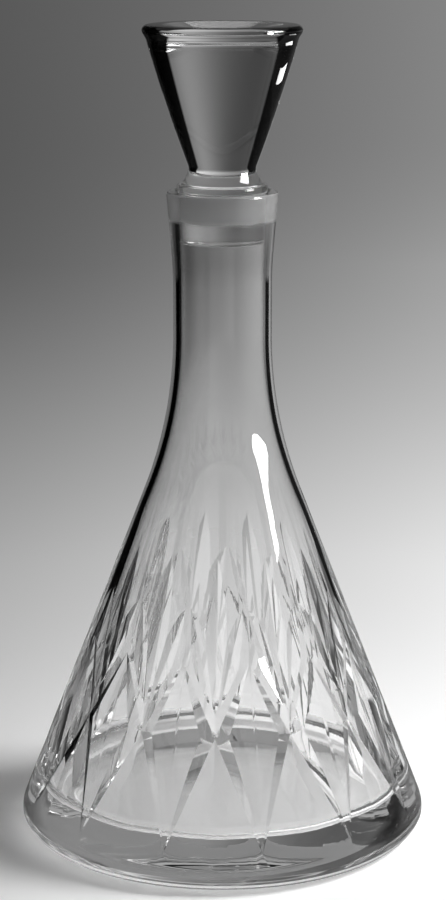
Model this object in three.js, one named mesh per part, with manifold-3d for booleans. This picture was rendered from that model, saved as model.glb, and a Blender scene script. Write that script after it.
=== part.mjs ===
// Glass decanter: a thick-based cone with a short neck, a band of mitre cuts and a ground glass stopper.
// Millimetres, +Z up. The origin is the middle of the foot ring, on the plane that it rests on.
import * as THREE from "three";
import { mergeVertices } from "three/addons/utils/BufferGeometryUtils.js";
import Module from "manifold-3d";

const wasm = await Module();
wasm.setup();

// Foot and heel of the body
const FOOT_RING_RADIUS = 66;
const FOOT_RING_WIDTH = 3;
const UNDERSIDE_HOLLOW = 2.5;
const HEEL_RADIUS = 76;
const HEEL_HEIGHT = 9;

// Cone, shoulder and neck of the body, outside
const BODY_HEIGHT = 240.6;
const NECK_RADIUS = 18.05;
const NECK_START = 158.6;
const SHOULDER_CURVE = 160;
const LIP_RADIUS = 20.3;
const LIP_FLARE_LENGTH = 28.5;
const LIP_EDGE = 0.7;

// Inside of the body
const FLOOR_HEIGHT = 16;
const FLOOR_CORNER = 5;
const FLOOR_CROWN = 0.6;
const WALL_AT_FLOOR = 6.4;
const WALL_BEND_HEIGHT = 120;
const NECK_WALL = 3.05;

// Ground joint between the neck and the stopper
const BORE_RADIUS = 16;
const BORE_EDGE = 0.4;
const GROUND_LENGTH = 27;
const GROUND_RUNOUT = 4;
const JOINT_TAPER = 0.037;
const SEAT_CLEARANCE = 0.3;

// Stopper
const PLUG_LENGTH = 18.4;
const PLUG_EDGE = 1.2;
const COLLAR_OVERHANG = 0.5;
const COLLAR_HEIGHT = 2.4;
const SKIRT_WAIST_RADIUS = 14;
const SKIRT_HEIGHT = 5;
const STEM_RADIUS = 12.1;
const STEM_HEIGHT = 1;
const FINIAL_CONE_HEIGHT = 45.8;
const FINIAL_CONE_RADIUS = 27.4;
const FINIAL_BULGE = 0.5;
const RIM_RADIUS = 28.8;
const RIM_HEIGHT = 4.9;
const RIM_EDGE = 0.8;

// Mitre cuts: a row of crossings round the cone, with a fan of five rays over each
const CUT_COUNT = 13;
const FIRST_CUT_DEGREES = -2.7;
const CUT_HALF_ANGLE_DEGREES = 72;
const CROSS_LOW_TIP = 15;
const CROSS_HIGH_TIP = 78;
const CROSS_DEPTH = 1.75;
const RAY_START = 2.5;
const MIDDLE_RAY_HEIGHT = 58;
const MIDDLE_RAY_DEPTH = 1.4;
const SIDE_RAY_HEIGHT = 41;
const SIDE_RAY_SPREAD_DEGREES = 12.6;
const SIDE_RAY_DEPTH = 1.1;

// Fineness of the faceted surfaces
const BODY_SEGMENTS_PER_CUT = 4;
const STOPPER_SEGMENTS = 52;
const CURVE_STEPS = 4;
const CUT_STEPS = 4;
const CUT_OVERRUN = 0.06;
const CUTTER_RISE = 3;

const NECK_BORE_RADIUS = NECK_RADIUS - NECK_WALL;
const CUT_PITCH = (2 * Math.PI) / CUT_COUNT;
const CONE_SLOPE = (HEEL_RADIUS - NECK_RADIUS) / (NECK_START - HEEL_HEIGHT);
const CONE_ANGLE = Math.atan(CONE_SLOPE);

function outerRadius(z) {
  return HEEL_RADIUS - CONE_SLOPE * (z - HEEL_HEIGHT);
}

const FLOOR_RADIUS = outerRadius(FLOOR_HEIGHT) - WALL_AT_FLOOR;
const BEND_RADIUS = outerRadius(WALL_BEND_HEIGHT) - NECK_WALL;
const INNER_SLOPE = (FLOOR_RADIUS - BEND_RADIUS) / (WALL_BEND_HEIGHT - FLOOR_HEIGHT);
const INNER_ANGLE = Math.atan(INNER_SLOPE);

/** Adds the curve that blends the cone into the neck, upwards outside or downwards inside. */
function addShoulder(path, neckRadius, curve, upwards) {
  const centreRadius = neckRadius + curve;
  const centreHeight = NECK_START + curve * Math.tan(CONE_ANGLE / 2);
  const onConeSide = Math.PI + CONE_ANGLE;
  const [first, last] = upwards ? [onConeSide, Math.PI] : [Math.PI, onConeSide];
  path.absarc(centreRadius, centreHeight, curve, first, last, upwards);
}

/** Turned section of the body: up the outside from the underside's middle, then down the inside. */
function bodySection() {
  const path = new THREE.Path();
  const ringInside = FOOT_RING_RADIUS - FOOT_RING_WIDTH;
  path.moveTo(0, UNDERSIDE_HOLLOW);
  path.quadraticCurveTo(ringInside / 2, UNDERSIDE_HOLLOW, ringInside, 0);
  path.lineTo(FOOT_RING_RADIUS, 0);
  const heelReach = HEEL_RADIUS - FOOT_RING_RADIUS;
  path.absellipse(FOOT_RING_RADIUS, HEEL_HEIGHT, heelReach, HEEL_HEIGHT, -Math.PI / 2, 0, false, 0);
  addShoulder(path, NECK_RADIUS, SHOULDER_CURVE, true);
  path.lineTo(NECK_RADIUS, BODY_HEIGHT - LIP_FLARE_LENGTH);
  path.lineTo(LIP_RADIUS, BODY_HEIGHT - LIP_EDGE);
  path.lineTo(LIP_RADIUS - LIP_EDGE, BODY_HEIGHT);
  path.lineTo(BORE_RADIUS + BORE_EDGE, BODY_HEIGHT);
  path.lineTo(BORE_RADIUS, BODY_HEIGHT - BORE_EDGE);
  const groundEnd = BODY_HEIGHT - GROUND_LENGTH;
  path.lineTo(boreRadius(groundEnd), groundEnd);
  path.lineTo(NECK_BORE_RADIUS, groundEnd - GROUND_RUNOUT);
  addShoulder(path, NECK_BORE_RADIUS, SHOULDER_CURVE + NECK_WALL, false);
  path.lineTo(BEND_RADIUS, WALL_BEND_HEIGHT);
  addFloorCorner(path);
  path.lineTo(0, FLOOR_HEIGHT + FLOOR_CROWN);
  return path;
}

/** Adds the round corner between the inner cone and the floor. */
function addFloorCorner(path) {
  const centreHeight = FLOOR_HEIGHT + FLOOR_CORNER;
  const centreRadius = FLOOR_RADIUS - INNER_SLOPE * FLOOR_CORNER - FLOOR_CORNER / Math.cos(INNER_ANGLE);
  path.absarc(centreRadius, centreHeight, FLOOR_CORNER, INNER_ANGLE, -Math.PI / 2, true);
}

/** Radius of the ground bore at a height, measured down its taper from the lip. */
function boreRadius(z) {
  return BORE_RADIUS - (BODY_HEIGHT - z) * JOINT_TAPER;
}

/** Turned section of the stopper, from the middle of the plug's end up to the middle of its top. */
function stopperSection() {
  const seat = BODY_HEIGHT + SEAT_CLEARANCE;
  const plugEnd = seat - PLUG_LENGTH;
  const collarRadius = BORE_RADIUS + COLLAR_OVERHANG;
  const collarTop = seat + COLLAR_HEIGHT;
  const stemFoot = collarTop + SKIRT_HEIGHT;
  const stemTop = stemFoot + STEM_HEIGHT;
  const coneTop = stemTop + FINIAL_CONE_HEIGHT;
  const top = coneTop + RIM_HEIGHT;
  const plugRadius = (z) => boreRadius(z) - SEAT_CLEARANCE;
  const path = new THREE.Path();
  path.moveTo(0, plugEnd);
  path.lineTo(plugRadius(plugEnd) - PLUG_EDGE, plugEnd);
  path.lineTo(plugRadius(plugEnd + PLUG_EDGE), plugEnd + PLUG_EDGE);
  path.lineTo(plugRadius(seat), seat);
  path.lineTo(collarRadius, seat);
  path.lineTo(collarRadius, collarTop);
  path.quadraticCurveTo(SKIRT_WAIST_RADIUS, collarTop, STEM_RADIUS, stemFoot);
  path.lineTo(STEM_RADIUS, stemTop);
  const bulgeRadius = (STEM_RADIUS + FINIAL_CONE_RADIUS) / 2 + 2 * FINIAL_BULGE;
  path.quadraticCurveTo(bulgeRadius, (stemTop + coneTop) / 2, FINIAL_CONE_RADIUS, coneTop);
  path.lineTo(RIM_RADIUS, coneTop + RIM_HEIGHT / 2);
  path.lineTo(RIM_RADIUS, top - RIM_EDGE);
  path.lineTo(RIM_RADIUS - RIM_EDGE, top);
  path.lineTo(0, top);
  return path;
}

/** A closed solid from positions and triangles, with doubled corners merged and slivers dropped. */
function solid(geometry) {
  const bare = new THREE.BufferGeometry();
  bare.setAttribute("position", geometry.getAttribute("position"));
  bare.setIndex(geometry.getIndex());
  const merged = mergeVertices(bare, 1e-4);
  const index = merged.getIndex().array;
  const kept = [];
  for (let i = 0; i < index.length; i += 3) {
    const [a, b, c] = index.slice(i, i + 3);
    if (a !== b && b !== c && c !== a) kept.push(a, b, c);
  }
  const vertProperties = new Float32Array(merged.getAttribute("position").array);
  return new wasm.Manifold(new wasm.Mesh({ numProp: 3, vertProperties, triVerts: new Uint32Array(kept) }));
}

function turned(section, segments) {
  const lathe = new THREE.LatheGeometry(section.getPoints(CURVE_STEPS), segments);
  lathe.rotateX(Math.PI / 2);
  return solid(lathe);
}

/** A point on the outside of the cone; the angle runs from the front, which faces -Y, towards +X. */
function onCone(angle, z) {
  const radius = outerRadius(z);
  return new THREE.Vector3(radius * Math.sin(angle), -radius * Math.cos(angle), z);
}

/** A V-shaped cutter whose valley runs from one point of the cone to another, deepest halfway. */
function mitreCutter(from, to, depth) {
  const start = onCone(from.angle, from.z);
  const end = onCone(to.angle, to.z);
  const chord = end.clone().sub(start);
  const along = chord.clone().normalize();
  const middle = onCone((from.angle + to.angle) / 2, (from.z + to.z) / 2);
  const outward = new THREE.Vector3(middle.x, middle.y, 0).normalize();
  outward.multiplyScalar(Math.cos(CONE_ANGLE)).setZ(Math.sin(CONE_ANGLE));
  const up = outward.clone().addScaledVector(along, -outward.dot(along)).normalize();
  const side = up.clone().cross(along);
  const chordMiddle = start.clone().addScaledVector(chord, 0.5);
  const bow = depth - middle.clone().sub(chordMiddle).dot(up);
  const rise = depth + CUTTER_RISE;
  const spread = rise * Math.tan(THREE.MathUtils.degToRad(CUT_HALF_ANGLE_DEGREES));
  const positions = [];
  for (let i = 0; i <= CUT_STEPS; i += 1) {
    const t = -CUT_OVERRUN + ((1 + 2 * CUT_OVERRUN) * i) / CUT_STEPS;
    const valley = start.clone().addScaledVector(chord, t).addScaledVector(up, -4 * bow * t * (1 - t));
    const right = valley.clone().addScaledVector(up, rise).addScaledVector(side, spread);
    const left = valley.clone().addScaledVector(up, rise).addScaledVector(side, -spread);
    positions.push(...valley, ...right, ...left);
  }
  const geometry = new THREE.BufferGeometry();
  geometry.setAttribute("position", new THREE.Float32BufferAttribute(positions, 3));
  geometry.setIndex(prismTriangles(CUT_STEPS));
  return solid(geometry);
}

/** Triangles of a three-sided prism made of a number of stacked lengths. */
function prismTriangles(lengths) {
  const triangles = [0, 2, 1];
  for (let i = 0; i < lengths; i += 1) {
    for (let corner = 0; corner < 3; corner += 1) {
      const p = 3 * i + corner;
      const q = 3 * i + ((corner + 1) % 3);
      triangles.push(p, q, q + 3, p, q + 3, p + 3);
    }
  }
  const last = 3 * lengths;
  triangles.push(last, last + 1, last + 2);
  return triangles;
}

/** Height at which two mirrored grooves cross, where their chords meet the same upright plane. */
function crossingHeight() {
  const low = outerRadius(CROSS_LOW_TIP);
  const high = outerRadius(CROSS_HIGH_TIP);
  return THREE.MathUtils.lerp(CROSS_LOW_TIP, CROSS_HIGH_TIP, low / (low + high));
}

/** The five cutters of one crossing and its fan: two crossed grooves, a middle ray and two side rays. */
function cuttersAt(angle) {
  const half = CUT_PITCH / 2;
  const spread = THREE.MathUtils.degToRad(SIDE_RAY_SPREAD_DEGREES);
  const crossing = crossingHeight();
  const foot = { angle, z: crossing + RAY_START };
  const middleTip = { angle, z: crossing + RAY_START + MIDDLE_RAY_HEIGHT };
  const cutters = [mitreCutter(foot, middleTip, MIDDLE_RAY_DEPTH)];
  for (const turn of [-1, 1]) {
    const low = { angle: angle - turn * half, z: CROSS_LOW_TIP };
    const high = { angle: angle + turn * half, z: CROSS_HIGH_TIP };
    const tip = { angle: angle + turn * spread, z: crossing + RAY_START + SIDE_RAY_HEIGHT };
    cutters.push(mitreCutter(low, high, CROSS_DEPTH));
    cutters.push(mitreCutter(foot, tip, SIDE_RAY_DEPTH));
  }
  return cutters;
}

function decanterBody() {
  let body = turned(bodySection(), CUT_COUNT * BODY_SEGMENTS_PER_CUT);
  for (let i = 0; i < CUT_COUNT; i += 1) {
    const angle = THREE.MathUtils.degToRad(FIRST_CUT_DEGREES) + i * CUT_PITCH;
    for (const cutter of cuttersAt(angle)) body = body.subtract(cutter);
  }
  return body;
}

function glass() {
  return new THREE.MeshStandardMaterial({
    color: 0xdde3e4,
    roughness: 0.04,
    metalness: 0,
    transparent: true,
    opacity: 0.35,
  });
}

function namedMesh(name, body) {
  const mesh = body.getMesh();
  const geometry = new THREE.BufferGeometry();
  geometry.setAttribute("position", new THREE.BufferAttribute(mesh.vertProperties, 3));
  geometry.setIndex(new THREE.BufferAttribute(mesh.triVerts, 1));
  geometry.computeVertexNormals();
  const named = new THREE.Mesh(geometry, glass());
  named.name = name;
  return named;
}

const decanter = new THREE.Group();
decanter.add(namedMesh("decanter_body", decanterBody()));
decanter.add(namedMesh("stopper", turned(stopperSection(), STOPPER_SEGMENTS)));

export default decanter;
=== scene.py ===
"""A cut glass decanter with a ground stopper, in clear glass on a pale floor."""
import math

import bmesh
import bpy
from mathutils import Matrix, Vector


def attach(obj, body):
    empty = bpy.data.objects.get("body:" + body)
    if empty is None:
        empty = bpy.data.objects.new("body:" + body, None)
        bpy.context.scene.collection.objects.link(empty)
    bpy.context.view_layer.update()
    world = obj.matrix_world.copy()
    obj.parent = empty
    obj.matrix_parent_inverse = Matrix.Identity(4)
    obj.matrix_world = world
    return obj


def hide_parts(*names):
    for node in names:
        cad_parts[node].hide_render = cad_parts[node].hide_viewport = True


# The sizes of the object, the camera and the panels are in millimetres, those of the room in metres.
MM = 0.001

# Foot and heel of the body
FOOT_RING_RADIUS = 66
FOOT_RING_WIDTH = 3
UNDERSIDE_HOLLOW = 2.5
HEEL_RADIUS = 76
HEEL_HEIGHT = 9
HEEL_FILLET = 9

# Cone, shoulder and neck of the body, outside
BODY_HEIGHT = 240.6
NECK_RADIUS = 18.05
NECK_START = 158.6
SHOULDER_CURVE = 160
LIP_RADIUS = 20.3
LIP_FLARE_LENGTH = 28.5
LIP_FLARE_CURVE = 120
LIP_FILLET = 0.9

# Inside of the body
FLOOR_HEIGHT = 16
FLOOR_CORNER = 5
FLOOR_CROWN = 0.6
WALL_AT_FLOOR = 6.4
WALL_BEND_HEIGHT = 120
WALL_BEND_CURVE = 500
NECK_WALL = 3.05

# Ground joint between the neck and the stopper
BORE_RADIUS = 16
BORE_FILLET = 0.5
GROUND_LENGTH = 27
GROUND_RUNOUT = 4
JOINT_TAPER = 0.037
SEAT_CLEARANCE = 0.3
FROST_END = 230.5
FROST_RUNOUT = 1.5
FROST_WANDER = 3

# Stopper
PLUG_LENGTH = 18.4
PLUG_EDGE = 1.2
COLLAR_OVERHANG = 0.5
COLLAR_HEIGHT = 2.4
COLLAR_FILLET = 0.7
SKIRT_WAIST_RADIUS = 14
SKIRT_HEIGHT = 5
STEM_RADIUS = 12.1
STEM_HEIGHT = 1
STEM_FILLET = 5
FINIAL_CONE_HEIGHT = 45.8
FINIAL_CONE_RADIUS = 27.4
FINIAL_BULGE = 0.5
RIM_RADIUS = 28.8
RIM_HEIGHT = 4.9
RIM_FILLET = 2.1
RIM_BELLY = 3
TOP_RING_RADIUS = 21.5

# Mitre cuts
CUT_COUNT = 13
FIRST_CUT_DEGREES = -2.7
CUT_HALF_ANGLE_DEGREES = 72
CROSS_LOW_TIP = 15
CROSS_HIGH_TIP = 78
CROSS_DEPTH = 1.75
RAY_START = 2.5
MIDDLE_RAY_HEIGHT = 58
MIDDLE_RAY_DEPTH = 1.4
SIDE_RAY_HEIGHT = 41
SIDE_RAY_SPREAD_DEGREES = 12.6
SIDE_RAY_DEPTH = 1.1
CUT_OVERRUN = 0.06
CUTTER_RISE = 3

# Fineness of the meshes; the heel's fillet takes the place of the last points of its arc
BODY_SEGMENTS_PER_CUT = 20
STOPPER_SEGMENTS = 208
CURVE_STEPS = 16
HEEL_POINTS_REPLACED = 3
CUT_STEPS = 20
SHARP_DEGREES = 15
ON_AXIS = 1e-6

# Camera, fitted to the photograph
CAMERA_DISTANCE = 885.7
CAMERA_HEIGHT = 350.1
CAMERA_SIDESTEP = 0.2
CAMERA_PITCH_DEGREES = 13.05
CAMERA_LENS = 98.46
SENSOR_WIDTH = 36
CLIP_START = 10

# Glass; roughness is (clean, smudged), and a layer of bumps is (features a metre, height in metres)
REFRACTION = 1.52
CLARITY = 0.985
SMUDGE_SCALE = 35
SMUDGE_DETAIL = 4
SMUDGE_LEVELS = (0.35, 0.7)
POLISHED = (0.0, 0.01)
CUT_POLISHED = (0.0, 0.015)
BLOWN = ((30.0, 0.00001), (150.0, 0.000001))
WHEEL_MARKS = ((60.0, 0.00003), (300.0, 0.000002))
PRESSED = ((30.0, 0.000005), (150.0, 0.000001))

# Painted dark edges of the glass, a painted reflection of the dark room in its base colour: facing at
# their start and end, and heights over the floor in metres
OUTSIDE_PAINTED_EDGE = (0.47, 0.69)
CUT_PAINTED_EDGE = (0.66, 0.95)
FINIAL_PAINTED_EDGE = (0.35, 0.9)
TOP_PAINTED_EDGE = (0.85, 1.1)
PAINTED_EDGE_CLARITY = 0.0001
PAINTED_EDGE_BLUR = 0.05
CONE_PAINTED_EDGE_SHIFT = 0.12
SHOULDER_HEIGHTS = (0.12, 0.165)
PAINTED_EDGE_FADE_HEIGHTS = (0.025, 0.1)
GROUND_END_HEIGHTS = (0.208, 0.212)
HAZY_PAINTED_EDGE = 0.65

# Ground glass
FROST_WHITE = 0.35
FROST_CLARITY = 0.62
FROST_ROUGHNESS = 0.5
HAZE_ROUGHNESS = 0.06
WANDER_SCALE = 60
GRAIN = ((200.0, 0.00001), (2500.0, 0.00001))

# Sweep of paper that the object stands on, in metres
SWEEP_FLOOR_RADIUS = 2.4
SWEEP_FLOOR_STEPS = 12
SWEEP_CURVE = 2.0
SWEEP_CURVE_STEPS = 24
SWEEP_WALL_TOP = 3.2
SWEEP_SEGMENTS = 128
LIT_FLOOR_RADIUS = (0.16, 0.4)
# A painted pool of light glows on the floor under the glass, for the light that the base gathers
POOL_RADIUS = (0.06, 0.088)
POOL_LIGHT = 0.33

# Painted light of the room: a grey in the floor's colour and the walls' glow, which fades with distance
# and height as a painted falloff of light, in metres
NEAR_GREY = 0.9
FAR_GREY = 0.15
HIGH_GREY = 0.1
DIM_HEIGHTS = (0.2, 1.4)
FADE_LENGTH = 0.5
FILL_LIGHT = 0.35
CEILING_GREY = 0.22

# Painted light and shade of the room from side to side, darker to the left as if lit from the right;
# swings are exponents of the grey
LIT_SWING = 1.5
NEAR_SWING = 2.65
FAR_SWING = 0.66
FAR_SWING_REACH = 1.4
SWING_CHANGE = (0.4, 0.9)
LIGHT_SIDES = 4
SIDE_REACH = 0.25
EVEN_SIDES = (0.4, 0.9)
EVEN_REACH = (0.17, 0.9)
DARK_SIDE = (-0.7, -0.5)
DARK_SWING = -4

# Painted reflections: how reflections and light turned round inside the glass see the room, painted
# dimmer or lighter
MIRRORED_SHARE = 0.2
BEHIND = (0.95, 0.99)
BEHIND_SHARE = 0.8
TURNED_WHITE = 0.25
LIFT_HEIGHTS = (0.3, 0.8)
LIFT = 1.3
CEILING_LIFT = 0.17

# Key light, in metres and watts
KEY_AZIMUTH = 85
KEY_ELEVATION = 42
KEY_DISTANCE = 1.2
KEY_SIZE = 0.5
KEY_POWER = 16

# Panels that only mirror reflections see
STREAK_AZIMUTH = 72
STREAK_DISTANCE = 450
STREAK_STRENGTH = 25
GLINT_AZIMUTH = 120
GLINT_DISTANCE = 289
GLINT_STRENGTH = 9
FLAG_DISTANCE = 100
FLAG_STRENGTH = 0.05

# Material slots of the meshes made here
OUTSIDE, INSIDE, GROUND, CUT, FINIAL, TOP = range(6)

NECK_BORE_RADIUS = NECK_RADIUS - NECK_WALL
CUT_PITCH = 2 * math.pi / CUT_COUNT
CONE_SLOPE = (HEEL_RADIUS - NECK_RADIUS) / (NECK_START - HEEL_HEIGHT)
CONE_ANGLE = math.atan(CONE_SLOPE)


def outer_radius(z):
    return HEEL_RADIUS - CONE_SLOPE * (z - HEEL_HEIGHT)


FLOOR_RADIUS = outer_radius(FLOOR_HEIGHT) - WALL_AT_FLOOR
BEND_RADIUS = outer_radius(WALL_BEND_HEIGHT) - NECK_WALL
INNER_SLOPE = (FLOOR_RADIUS - BEND_RADIUS) / (WALL_BEND_HEIGHT - FLOOR_HEIGHT)
INNER_ANGLE = math.atan(INNER_SLOPE)


def bore_radius(z):
    return BORE_RADIUS - (BODY_HEIGHT - z) * JOINT_TAPER


def lerp(a, b, t):
    return a + (b - a) * t


# Turned sections are lists of (radius, height, finish of the band that ends there)


def line(*points, finish=OUTSIDE):
    return [(r, z, finish) for r, z in points]


def arc(centre, reach, first, last, steps=CURVE_STEPS, finish=OUTSIDE):
    """An elliptical arc in the section's plane; angles are in radians from the outward direction."""
    points = []
    for i in range(steps + 1):
        angle = lerp(first, last, i / steps)
        points.append((centre[0] + reach[0] * math.cos(angle), centre[1] + reach[1] * math.sin(angle)))
    return line(*points, finish=finish)


def curve(start, control, end, steps=CURVE_STEPS, finish=OUTSIDE):
    """A quadratic curve in the section's plane."""
    points = []
    for i in range(1, steps + 1):
        t = i / steps
        weights = ((1 - t) ** 2, 2 * t * (1 - t), t * t)
        pairs = list(zip(weights, (start, control, end)))
        points.append(tuple(sum(w * p[k] for w, p in pairs) for k in (0, 1)))
    return line(*points, finish=finish)


def fillet(before, corner, after, radius, steps=6, finish=OUTSIDE):
    """A round corner between two straight stretches of a section."""
    corner = Vector(corner)
    one = (Vector(before) - corner).normalized()
    two = (Vector(after) - corner).normalized()
    half = one.angle(two) / 2
    tangent = radius / math.tan(half)
    centre = corner + (one + two).normalized() * radius / math.sin(half)
    first = corner + one * tangent - centre
    last = corner + two * tangent - centre
    swing = math.pi - 2 * half
    points = []
    for i in range(steps + 1):
        t = i / steps
        spoke = first * math.sin((1 - t) * swing) + last * math.sin(t * swing)
        points.append(tuple(centre + spoke / math.sin(swing)))
    return line(*points, finish=finish)


def shoulder(neck_radius, sweep, upwards, finish):
    centre = (neck_radius + sweep, NECK_START + sweep * math.tan(CONE_ANGLE / 2))
    on_cone_side = math.pi + CONE_ANGLE
    ends = (on_cone_side, math.pi) if upwards else (math.pi, on_cone_side)
    return arc(centre, (sweep, sweep), *ends, steps=2 * CURVE_STEPS, finish=finish)


def body_section():
    ring_inside = FOOT_RING_RADIUS - FOOT_RING_WIDTH
    ground_end = BODY_HEIGHT - GROUND_LENGTH
    heel_reach = (HEEL_RADIUS - FOOT_RING_RADIUS, HEEL_HEIGHT)
    heel = arc((FOOT_RING_RADIUS, HEEL_HEIGHT), heel_reach, -math.pi / 2, 0)
    cone_foot = (HEEL_RADIUS, HEEL_HEIGHT)
    cone_top = (NECK_RADIUS, NECK_START)
    heel, heel_end = heel[:-HEEL_POINTS_REPLACED], heel[-HEEL_POINTS_REPLACED][:2]
    outer_lip = (LIP_RADIUS, BODY_HEIGHT)
    inner_lip = (BORE_RADIUS, BODY_HEIGHT)
    flare_foot = (NECK_RADIUS, BODY_HEIGHT - LIP_FLARE_LENGTH)
    up_flare = 1 - (BODY_HEIGHT - FROST_END) / LIP_FLARE_LENGTH
    frost_end = (lerp(NECK_RADIUS, LIP_RADIUS, up_flare), FROST_END)
    bore_foot = (bore_radius(ground_end), ground_end)
    corner_height = FLOOR_HEIGHT + FLOOR_CORNER
    corner_radius = FLOOR_RADIUS - INNER_SLOPE * FLOOR_CORNER - FLOOR_CORNER / math.cos(INNER_ANGLE)
    corner_centre = (corner_radius, corner_height)
    corner_reach = (FLOOR_CORNER, FLOOR_CORNER)
    floor_corner = arc(corner_centre, corner_reach, INNER_ANGLE, -math.pi / 2, finish=INSIDE)
    bend = (BEND_RADIUS, WALL_BEND_HEIGHT)
    inner_shoulder = shoulder(NECK_BORE_RADIUS, SHOULDER_CURVE + NECK_WALL, False, INSIDE)
    above, below = inner_shoulder[-1][:2], floor_corner[0][:2]
    wall_bend = fillet(above, bend, below, WALL_BEND_CURVE, finish=INSIDE)
    middle = (0, UNDERSIDE_HOLLOW)
    return (
        line(middle)
        + curve(middle, (ring_inside / 2, UNDERSIDE_HOLLOW), (ring_inside, 0), finish=INSIDE)
        + heel
        + fillet(heel_end, cone_foot, cone_top, HEEL_FILLET)
        + shoulder(NECK_RADIUS, SHOULDER_CURVE, True, OUTSIDE)
        + fillet(cone_top, flare_foot, outer_lip, LIP_FLARE_CURVE)
        + line(frost_end)
        + fillet(flare_foot, outer_lip, inner_lip, LIP_FILLET, finish=INSIDE)
        + fillet(outer_lip, inner_lip, bore_foot, BORE_FILLET, finish=INSIDE)
        + line(bore_foot, finish=GROUND)
        + line((NECK_BORE_RADIUS, ground_end - GROUND_RUNOUT), finish=INSIDE)
        + inner_shoulder
        + wall_bend
        + floor_corner
        + line((0, FLOOR_HEIGHT + FLOOR_CROWN), finish=INSIDE)
    )


def stopper_section():
    seat = BODY_HEIGHT + SEAT_CLEARANCE
    plug_end = seat - PLUG_LENGTH
    collar_radius = BORE_RADIUS + COLLAR_OVERHANG
    collar_top = seat + COLLAR_HEIGHT
    stem_foot = collar_top + SKIRT_HEIGHT
    stem_top = stem_foot + STEM_HEIGHT
    cone_top = stem_top + FINIAL_CONE_HEIGHT
    top = cone_top + RIM_HEIGHT

    def plug_radius(z):
        return bore_radius(z) - SEAT_CLEARANCE

    plug_corner = (plug_radius(plug_end), plug_end)
    plug_top = (plug_radius(seat), seat)
    waist = (SKIRT_WAIST_RADIUS, collar_top)
    collar_end = (collar_radius - COLLAR_FILLET, collar_top)
    bulge = ((STEM_RADIUS + FINIAL_CONE_RADIUS) / 2 + 2 * FINIAL_BULGE, (stem_top + cone_top) / 2)
    stem = ((STEM_RADIUS, stem_foot), (STEM_RADIUS, stem_top))
    stem_curve = fillet(*stem, bulge, STEM_FILLET, finish=FINIAL)
    rim_foot = (FINIAL_CONE_RADIUS, cone_top)
    rim_middle = (RIM_RADIUS, cone_top + RIM_HEIGHT / 2)
    rim_top = (RIM_RADIUS, top)
    return (
        line((0, plug_end))
        + fillet((0, plug_end), plug_corner, plug_top, PLUG_EDGE)
        + line(plug_top, finish=GROUND)
        + fillet(plug_top, (collar_radius, seat), (collar_radius, collar_top), COLLAR_FILLET / 2)
        + fillet((collar_radius, seat), (collar_radius, collar_top), waist, COLLAR_FILLET)
        + curve(collar_end, waist, stem[0], finish=INSIDE)
        + stem_curve
        + curve(stem_curve[-1][:2], bulge, rim_foot, finish=FINIAL)
        + fillet(rim_foot, rim_middle, rim_top, RIM_BELLY, finish=FINIAL)
        + fillet(rim_middle, rim_top, (0, top), RIM_FILLET, finish=FINIAL)
        + line((TOP_RING_RADIUS, top), finish=TOP)
        + line((0, top))
    )


def smooth_with_sharp_corners(mesh):
    """Shades a mesh smooth, with edges kept crisp where its faces meet at more than SHARP_DEGREES."""
    limit = math.radians(SHARP_DEGREES)
    shape = bmesh.new()
    shape.from_mesh(mesh)
    for face in shape.faces:
        face.smooth = True
    for edge in shape.edges:
        edge.smooth = edge.is_manifold and edge.calc_face_angle(0) < limit
    shape.to_mesh(mesh)
    shape.free()


def turned(name, section, segments):
    """A mesh turned round Z from a section, closed where both ends of the section are on the axis.

    On the axis a ring is one point, and a face that would use it twice is a triangle."""
    shape = bmesh.new()
    rings = []
    for r, z, _ in section:
        if r < ON_AXIS:
            rings.append([shape.verts.new((0, 0, z * MM))])
            continue
        ring = []
        for i in range(segments):
            angle = 2 * math.pi * i / segments
            ring.append(shape.verts.new((r * MM * math.sin(angle), -r * MM * math.cos(angle), z * MM)))
        rings.append(ring)
    for low, high, (_, _, finish) in zip(rings, rings[1:], section[1:]):
        for i in range(segments):
            j = (i + 1) % segments
            corners = [low[i % len(low)], low[j % len(low)], high[j % len(high)], high[i % len(high)]]
            face = shape.faces.new(list(dict.fromkeys(corners)))
            face.material_index = finish
    mesh = bpy.data.meshes.new(name)
    shape.to_mesh(mesh)
    shape.free()
    return linked(name, mesh)


def linked(name, data):
    piece = bpy.data.objects.new(name, data)
    bpy.context.scene.collection.objects.link(piece)
    return piece


def on_cone(angle, z):
    """A point on the outside of the cone; the angle runs from the front, which faces -Y, towards +X."""
    radius = outer_radius(z)
    return Vector((radius * math.sin(angle), -radius * math.cos(angle), z))


def add_cutter(shape, start_at, end_at, depth):
    """Adds a V-shaped cutter whose valley runs between two points of the cone, deepest halfway."""
    start, end = on_cone(*start_at), on_cone(*end_at)
    chord = end - start
    along = chord.normalized()
    middle_angle = (start_at[0] + end_at[0]) / 2
    middle = on_cone(middle_angle, (start_at[1] + end_at[1]) / 2)
    lean = math.cos(CONE_ANGLE)
    aside, ahead = math.sin(middle_angle) * lean, -math.cos(middle_angle) * lean
    outward = Vector((aside, ahead, math.sin(CONE_ANGLE)))
    up = (outward - along * outward.dot(along)).normalized()
    side = up.cross(along)
    bow = depth - (middle - (start + end) / 2).dot(up)
    rise = depth + CUTTER_RISE
    spread = rise * math.tan(math.radians(CUT_HALF_ANGLE_DEGREES))
    rows = []
    for i in range(CUT_STEPS + 1):
        t = lerp(-CUT_OVERRUN, 1 + CUT_OVERRUN, i / CUT_STEPS)
        valley = start + chord * t - up * 4 * bow * t * (1 - t)
        corners = (valley, valley + up * rise + side * spread, valley + up * rise - side * spread)
        rows.append([shape.verts.new(corner * MM) for corner in corners])
    faces = [shape.faces.new((rows[0][0], rows[0][2], rows[0][1])), shape.faces.new(rows[-1])]
    for low, high in zip(rows, rows[1:]):
        for k in range(3):
            n = (k + 1) % 3
            faces.append(shape.faces.new((low[k], low[n], high[n], high[k])))
    for face in faces:
        face.material_index = CUT


def crossing_height():
    low, high = outer_radius(CROSS_LOW_TIP), outer_radius(CROSS_HIGH_TIP)
    return lerp(CROSS_LOW_TIP, CROSS_HIGH_TIP, low / (low + high))


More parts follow.
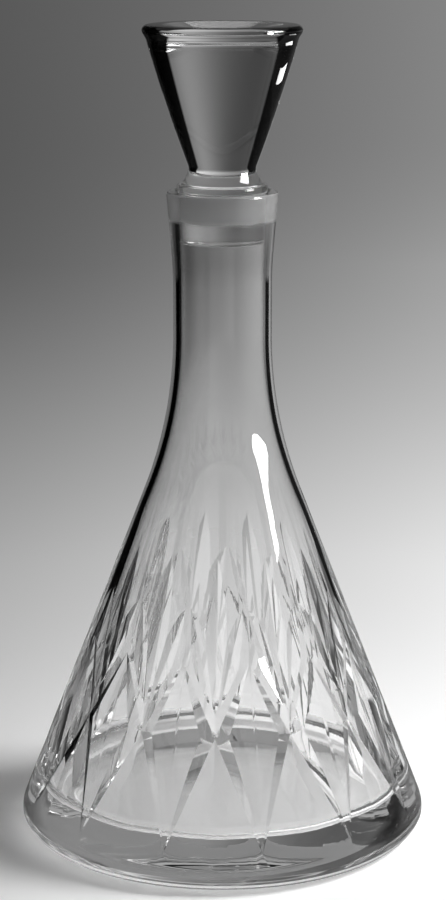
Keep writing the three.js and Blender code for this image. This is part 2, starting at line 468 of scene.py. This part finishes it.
def cut_families():
    """The cuts in five rows without overlaps: (start, end, depth), with angles from the crossing."""
    half = CUT_PITCH / 2
    foot = crossing_height() + RAY_START
    spread = math.radians(SIDE_RAY_SPREAD_DEGREES)
    families = [((0, foot), (0, foot + MIDDLE_RAY_HEIGHT), MIDDLE_RAY_DEPTH)]
    for turn in (-1, 1):
        families.append(((-turn * half, CROSS_LOW_TIP), (turn * half, CROSS_HIGH_TIP), CROSS_DEPTH))
        families.append(((0, foot), (turn * spread, foot + SIDE_RAY_HEIGHT), SIDE_RAY_DEPTH))
    return families


def cut(piece):
    """Cuts the rows of mitres out of the body."""
    cutters = []
    for number, (start, end, depth) in enumerate(cut_families()):
        shape = bmesh.new()
        for i in range(CUT_COUNT):
            crossing = math.radians(FIRST_CUT_DEGREES) + i * CUT_PITCH
            start_at, end_at = (crossing + start[0], start[1]), (crossing + end[0], end[1])
            add_cutter(shape, start_at, end_at, depth)
        mesh = bpy.data.meshes.new(f"cutter_{number}")
        shape.to_mesh(mesh)
        shape.free()
        cutter = linked(mesh.name, mesh)
        for slot in piece.data.materials:
            mesh.materials.append(slot)
        tool = piece.modifiers.new(mesh.name, "BOOLEAN")
        tool.operation = "DIFFERENCE"
        tool.solver = "MANIFOLD"
        tool.object = cutter
        cutters.append(cutter)
    graph = bpy.context.evaluated_depsgraph_get()
    result = bpy.data.meshes.new_from_object(piece.evaluated_get(graph))
    piece.modifiers.clear()
    piece.data = result
    for cutter in cutters:
        bpy.data.objects.remove(cutter)


class Nodes:
    """Short calls for building a material's or the world's node tree."""

    def __init__(self, tree):
        self.tree = tree
        tree.nodes.clear()

    def add(self, kind, inputs=None, **settings):
        node = self.tree.nodes.new(kind)
        for key, value in settings.items():
            setattr(node, key, value)
        for key, value in (inputs or {}).items():
            if isinstance(value, bpy.types.NodeSocket):
                self.tree.links.new(value, node.inputs[key])
            else:
                node.inputs[key].default_value = value
        return node

    def math(self, operation, *values):
        return self.add("ShaderNodeMath", dict(enumerate(values)), operation=operation).outputs[0]

    def ramp(self, value, low, high, to_low, to_high):
        """A smooth step between two values."""
        names = ("Value", "From Min", "From Max", "To Min", "To Max")
        inputs = dict(zip(names, (value, low, high, to_low, to_high)))
        return self.add("ShaderNodeMapRange", inputs, interpolation_type="SMOOTHSTEP").outputs["Result"]

    def at_least(self, value, count):
        """One where a whole number reaches a count, otherwise zero."""
        return self.math("GREATER_THAN", value, count - 0.5)

    def noise(self, scale, detail=2.0):
        where = self.add("ShaderNodeTexCoord").outputs["Object"]
        inputs = {"Vector": where, "Scale": scale, "Detail": detail}
        return self.add("ShaderNodeTexNoise", inputs).outputs["Fac"]

    def height(self):
        """Height over the floor at rest, in metres."""
        where = self.add("ShaderNodeTexCoord").outputs["Object"]
        return self.add("ShaderNodeSeparateXYZ", {0: where}).outputs[2]

    def output(self, surface, kind="ShaderNodeOutputMaterial"):
        self.add(kind, {"Surface": surface})


def new_material(name):
    material = bpy.data.materials.new(name)
    material.use_nodes = True
    return material, Nodes(material.node_tree)


def bumps(nodes, *layers):
    """A bumpy normal from layers of noise."""
    normal = None
    for scale, height in layers:
        inputs = {"Height": nodes.noise(scale, 1.0), "Distance": height, "Strength": 1.0}
        if normal is not None:
            inputs["Normal"] = normal
        normal = nodes.add("ShaderNodeBump", inputs).outputs[0]
    return normal


def glass(name, roughness, layers, painted_dark_edge=None, on_body=False):
    """Clear glass, smudged a little here and there.

    A painted dark edge is the stretch of a rounded edge where the base colour is painted dark, a
    painted reflection of the dark sides of the room inside the wall. On the body it lies nearer the
    outline down on the cone, where the wall is thin for its radius. It fades out towards the thick
    base, and it is fainter beside the ground band."""
    material, nodes = new_material(name)
    inputs = {
        "Base Color": (CLARITY, CLARITY, CLARITY, 1),
        "Roughness": nodes.ramp(nodes.noise(SMUDGE_SCALE, SMUDGE_DETAIL), *SMUDGE_LEVELS, *roughness),
        "Transmission Weight": 1.0,
        "Normal": bumps(nodes, *layers),
        "IOR": REFRACTION,
    }
    if painted_dark_edge is not None:
        facing = nodes.add("ShaderNodeLayerWeight").outputs["Facing"]
        if on_body:
            shift = nodes.ramp(nodes.height(), *SHOULDER_HEIGHTS, CONE_PAINTED_EDGE_SHIFT, 0.0)
            facing = nodes.math("SUBTRACT", facing, shift)
        start = nodes.ramp(facing, painted_dark_edge[0], painted_dark_edge[0] + PAINTED_EDGE_BLUR, 0.0, 1.0)
        end = nodes.ramp(facing, painted_dark_edge[1] - PAINTED_EDGE_BLUR, painted_dark_edge[1], 1.0, 0.0)
        edge = nodes.math("MULTIPLY", start, end)
        if on_body:
            fade = nodes.ramp(nodes.height(), *PAINTED_EDGE_FADE_HEIGHTS, 0.0, 1.0)
            fainter_by_ground_band = nodes.ramp(nodes.height(), *GROUND_END_HEIGHTS, 1.0, HAZY_PAINTED_EDGE)
            edge = nodes.math("MULTIPLY", nodes.math("MULTIPLY", edge, fade), fainter_by_ground_band)
        # The base colour is painted dark along the edge, as a painted reflection of the dark room.
        inputs["Base Color"] = nodes.ramp(edge, 0.0, 1.0, CLARITY, PAINTED_EDGE_CLARITY)
    nodes.output(nodes.add("ShaderNodeBsdfPrincipled", inputs).outputs[0])
    return material


def ground_glass(name):
    """Ground glass: frosted white in the seat, wet-looking and hazy below it."""
    material, nodes = new_material(name)
    swing = nodes.math("SUBTRACT", nodes.noise(WANDER_SCALE), 0.5)
    wander = nodes.math("MULTIPLY", swing, FROST_WANDER * MM)
    level = nodes.math("ADD", nodes.height(), wander)
    low, high = (FROST_END - FROST_RUNOUT) * MM, (FROST_END + FROST_RUNOUT) * MM
    inputs = {
        "Base Color": nodes.ramp(level, low, high, CLARITY, FROST_CLARITY),
        "Roughness": nodes.ramp(level, low, high, HAZE_ROUGHNESS, FROST_ROUGHNESS),
        "Transmission Weight": nodes.ramp(level, low, high, 1.0, 1.0 - FROST_WHITE),
        "Normal": bumps(nodes, *GRAIN),
        "IOR": REFRACTION,
    }
    nodes.output(nodes.add("ShaderNodeBsdfPrincipled", inputs).outputs[0])
    return material


def make_decanter():
    slots = {
        OUTSIDE: glass("outside_glass", POLISHED, BLOWN, OUTSIDE_PAINTED_EDGE, on_body=True),
        INSIDE: glass("inside_glass", POLISHED, BLOWN),
        GROUND: ground_glass("ground_glass"),
        CUT: glass("cut_glass", CUT_POLISHED, WHEEL_MARKS, CUT_PAINTED_EDGE),
        FINIAL: glass("finial_glass", POLISHED, PRESSED, FINIAL_PAINTED_EDGE),
        TOP: glass("finial_top_glass", POLISHED, PRESSED, TOP_PAINTED_EDGE),
    }
    body = turned("decanter_body_glass", body_section(), CUT_COUNT * BODY_SEGMENTS_PER_CUT)
    stopper = turned("stopper_glass", stopper_section(), STOPPER_SEGMENTS)
    for piece in (body, stopper):
        for number in sorted(slots):
            piece.data.materials.append(slots[number])
    cut(body)
    for piece in (body, stopper):
        smooth_with_sharp_corners(piece.data)
    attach(body, "body")
    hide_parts("decanter_body")
    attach(stopper, "stopper")
    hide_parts("stopper")


def make_camera():
    data = bpy.data.cameras.new("camera")
    data.lens = CAMERA_LENS
    data.sensor_width = SENSOR_WIDTH
    data.clip_start = CLIP_START * MM
    camera = linked("camera", data)
    camera.location = (CAMERA_SIDESTEP * MM, -CAMERA_DISTANCE * MM, CAMERA_HEIGHT * MM)
    camera.rotation_euler = (math.radians(90 - CAMERA_PITCH_DEGREES), 0, 0)
    bpy.context.scene.camera = camera


def turned_round(nodes, path):
    """One for light that a mirror surface inside the glass has turned round, otherwise zero."""
    mirrored = nodes.at_least(path["Glossy Depth"], 1)
    return nodes.math("MULTIPLY", mirrored, path["Is Transmission Ray"])


def room_grey(nodes, axes, away, path):
    """The room's painted light before it differs from side to side.

    It is painted pale near the object and darker far off and high up, a painted falloff of light.
    Reflections see it painted dimmer, except straight behind the object, and light turned round inside
    the glass sees it painted lighter high up."""
    decay = nodes.math("EXPONENT", nodes.math("DIVIDE", away, -FADE_LENGTH))
    far = nodes.ramp(axes["Z"], *DIM_HEIGHTS, FAR_GREY, HIGH_GREY)
    grey = nodes.math("ADD", nodes.math("MULTIPLY", decay, NEAR_GREY), far)
    straight_back = nodes.math("DIVIDE", axes["Y"], away)
    mirrored_share = nodes.ramp(straight_back, *BEHIND, MIRRORED_SHARE, BEHIND_SHARE)
    seen_share = nodes.ramp(path["Is Reflection Ray"], 0.0, 1.0, 1.0, mirrored_share)
    height_lift = nodes.ramp(axes["Z"], *LIFT_HEIGHTS, 0.0, LIFT)
    lift = nodes.math("MULTIPLY", turned_round(nodes, path), height_lift)
    seen = nodes.math("MULTIPLY", grey, seen_share)
    return nodes.math("MULTIPLY", seen, nodes.math("ADD", lift, 1.0))


def room_swings(nodes, axes, away, path):
    """The painted shade of the lit floor's colour and the painted swing of the glowing walls.

    Both are painted darker to the left, as if the light fell from the right. Far off, the walls have
    painted lighter and darker sides, and mirrored light sees a painted dark one at the left. Far out to
    the sides, the camera sees the swing evened out."""
    turn = nodes.math("ARCTAN2", axes["X"], axes["Y"])
    wave = nodes.math("SINE", nodes.math("MULTIPLY", turn, LIGHT_SIDES))
    reach = nodes.math("MULTIPLY", nodes.math("MINIMUM", away, FAR_SWING_REACH), FAR_SWING)
    dark_side = nodes.ramp(nodes.math("DIVIDE", axes["X"], away), *DARK_SIDE, DARK_SWING, 0.0)
    dark = nodes.math("MULTIPLY", dark_side, nodes.at_least(path["Glossy Depth"], 1))
    far_swing = nodes.math("ADD", nodes.math("MULTIPLY", wave, reach), dark)
    sideways = nodes.math("ABSOLUTE", axes["X"])
    aside = nodes.ramp(nodes.math("DIVIDE", sideways, away), *EVEN_SIDES, 0.0, 1.0)
    outer = nodes.math("MULTIPLY", aside, nodes.ramp(sideways, *EVEN_REACH, 0.0, 1.0))
    even = nodes.math("SUBTRACT", 1.0, nodes.math("MULTIPLY", outer, path["Is Camera Ray"]))
    across = nodes.math("MAXIMUM", nodes.math("MINIMUM", axes["X"], SIDE_REACH), -SIDE_REACH)
    across = nodes.math("MULTIPLY", across, even)
    near_swing = nodes.math("MULTIPLY", across, NEAR_SWING)
    change = nodes.math("SUBTRACT", far_swing, near_swing)
    share = nodes.ramp(away, *SWING_CHANGE, 0.0, 1.0)
    wall_swing = nodes.math("ADD", near_swing, nodes.math("MULTIPLY", share, change))
    return nodes.math("MULTIPLY", across, LIT_SWING), wall_swing


def room(nodes):
    """The distance from the object, and the room's painted light as the colour of the lit floor and as
    the glow of the walls, which are no lamps.

    Light turned round more than once inside the glass sees no white in the room, a painted darkening."""
    where = nodes.add("ShaderNodeNewGeometry").outputs["Position"]
    axes = nodes.add("ShaderNodeSeparateXYZ", {0: where}).outputs
    flat = nodes.add("ShaderNodeCombineXYZ", {0: axes["X"], 1: axes["Y"]}).outputs[0]
    away = nodes.add("ShaderNodeVectorMath", {0: flat}, operation="LENGTH").outputs["Value"]
    path = nodes.add("ShaderNodeLightPath").outputs
    grey = room_grey(nodes, axes, away, path)
    white = nodes.ramp(nodes.at_least(path["Glossy Depth"], 2), 0.0, 1.0, 1.0, TURNED_WHITE)
    shades = []
    for swing in room_swings(nodes, axes, away, path):
        shade = nodes.math("MULTIPLY", grey, nodes.math("EXPONENT", swing))
        shades.append(nodes.math("MINIMUM", shade, white))
    fill = nodes.math("MULTIPLY", nodes.at_least(path["Diffuse Depth"], 1), FILL_LIGHT)
    return away, shades[0], nodes.math("MAXIMUM", shades[1], fill)


def make_sweep():
    steps = range(SWEEP_FLOOR_STEPS + 1)
    section = [(SWEEP_FLOOR_RADIUS * i / SWEEP_FLOOR_STEPS, 0.0, 0) for i in steps]
    for i in range(1, SWEEP_CURVE_STEPS + 1):
        angle = math.pi / 2 * i / SWEEP_CURVE_STEPS
        r = SWEEP_FLOOR_RADIUS + SWEEP_CURVE * math.sin(angle)
        section.append((r, SWEEP_CURVE * (1 - math.cos(angle)), 0))
    section.append((SWEEP_FLOOR_RADIUS + SWEEP_CURVE, SWEEP_WALL_TOP, 0))
    floor = turned("sweep", [(r / MM, z / MM, k) for r, z, k in section], SWEEP_SEGMENTS)
    floor.data.shade_smooth()
    material, nodes = new_material("sweep_paper")
    away, paper, far_grey = room(nodes)
    # Near the object the floor is lit by the lamps, with painted shade in its colour; farther off the
    # sweep glows with painted light, though it is no lamp.
    lit = nodes.add("ShaderNodeBsdfDiffuse", {"Color": paper})
    glow = nodes.add("ShaderNodeEmission", {"Color": far_grey, "Strength": 1.0})
    share = nodes.ramp(away, *LIT_FLOOR_RADIUS, 0.0, 1.0)
    both = nodes.add("ShaderNodeMixShader", {0: share, 1: lit.outputs[0], 2: glow.outputs[0]})
    # A painted pool of light under the glass, for the light that the base gathers onto the floor.
    pool = nodes.ramp(away, *POOL_RADIUS, POOL_LIGHT, 0.0)
    painted_pool_glow = nodes.add("ShaderNodeEmission", {"Strength": pool}).outputs[0]
    nodes.output(nodes.add("ShaderNodeAddShader", {0: both.outputs[0], 1: painted_pool_glow}).outputs[0])
    floor.data.materials.append(material)


def direction(azimuth, elevation):
    """Unit vector; azimuth in degrees from -Y towards +X."""
    a, e = math.radians(azimuth), math.radians(elevation)
    return Vector((math.sin(a) * math.cos(e), -math.cos(a) * math.cos(e), math.sin(e)))


def upright_panel(name, azimuth, distance, outline, strength):
    """A flat panel that only mirror reflections see; outline is (across, height) in millimetres."""
    out = direction(azimuth, 0)
    across = direction(azimuth + 90, 0)
    points = [(out * distance + across * u + Vector((0, 0, v))) * MM for u, v in outline]
    mesh = bpy.data.meshes.new(name)
    mesh.from_pydata(points, [], [list(range(len(points)))])
    panel = linked(name, mesh)
    material, nodes = new_material(name)
    nodes.output(nodes.add("ShaderNodeEmission", {"Strength": strength}).outputs[0])
    mesh.materials.append(material)
    for ray in ("camera", "diffuse", "transmission", "shadow"):
        setattr(panel, "visible_" + ray, False)


def make_panels():
    """The lights of the streak and the glint, and their flags.

    The flags end the streak and keep it off the lower cuts, and they keep the glint off the neck."""
    streak = (
        (-93, 217), (-121, 229), (-131, 238), (-113, 245), (-80, 250), (-66, 258), (-57, 270),
        (-49, 293), (15, 285), (19, 270), (26, 260), (49, 247), (73, 235), (99, 223), (126, 212),
        (113, 205), (54, 206), (-23, 209),
    )
    upright_panel("streak_light", STREAK_AZIMUTH, STREAK_DISTANCE, streak, STREAK_STRENGTH)
    under_streak = (
        (60, 155.5), (-6, 155.5), (-11, 152), (-11.5, 147.5), (-16.5, 141.5), (-20.6, 138),
        (-60, 128), (-60, 105), (60, 105),
    )
    upright_panel("flag", STREAK_AZIMUTH, FLAG_DISTANCE, under_streak, FLAG_STRENGTH)
    over_low_cuts = ((60, 105), (60, 25), (-31, 25), (-31, 105))
    upright_panel("lower_flag", STREAK_AZIMUTH, FLAG_DISTANCE, over_low_cuts, FLAG_STRENGTH)
    glint = ((-20, 165), (75, 193), (75, 205), (-20, 177))
    upright_panel("glint_light", GLINT_AZIMUTH, GLINT_DISTANCE, glint, GLINT_STRENGTH)
    under_glint = ((-80, 100), (80, 100), (80, 236), (-80, 236))
    upright_panel("glint_flag", GLINT_AZIMUTH, FLAG_DISTANCE, under_glint, FLAG_STRENGTH)


def make_key_light():
    data = bpy.data.lights.new("key", "AREA")
    data.size = KEY_SIZE
    data.energy = KEY_POWER
    lamp = linked("key", data)
    lamp.location = direction(KEY_AZIMUTH, KEY_ELEVATION) * KEY_DISTANCE
    lamp.rotation_mode = "QUATERNION"
    lamp.rotation_quaternion = (-lamp.location).to_track_quat("-Z", "Y")
    lamp.visible_camera = False


def make_world():
    world = bpy.data.worlds.new("room")
    bpy.context.scene.world = world
    world.use_nodes = True
    nodes = Nodes(world.node_tree)
    path = nodes.add("ShaderNodeLightPath").outputs
    strength = nodes.ramp(path["Diffuse Depth"], 0.0, 1.0, CEILING_GREY, FILL_LIGHT)
    lift = nodes.math("MULTIPLY", turned_round(nodes, path), CEILING_LIFT)
    strength = nodes.math("ADD", strength, lift)
    back = nodes.add("ShaderNodeBackground", {"Strength": strength})
    nodes.output(back.outputs[0], "ShaderNodeOutputWorld")


def set_render():
    scene = bpy.context.scene
    scene.view_settings.view_transform = "Standard"
    scene.cycles.max_bounces = 32
    scene.cycles.transmission_bounces = 32
    scene.cycles.glossy_bounces = 16
    scene.cycles.diffuse_bounces = 4
    scene.cycles.sample_clamp_indirect = 6
    scene.cycles.use_denoising = True


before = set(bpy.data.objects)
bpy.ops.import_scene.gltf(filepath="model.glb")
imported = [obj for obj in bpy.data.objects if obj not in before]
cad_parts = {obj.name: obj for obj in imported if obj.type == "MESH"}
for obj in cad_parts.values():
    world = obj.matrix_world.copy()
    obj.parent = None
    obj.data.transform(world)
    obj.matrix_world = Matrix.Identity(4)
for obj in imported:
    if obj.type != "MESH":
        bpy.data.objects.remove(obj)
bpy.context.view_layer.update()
make_camera()
make_decanter()
make_sweep()
make_panels()
make_key_light()
make_world()
set_render()
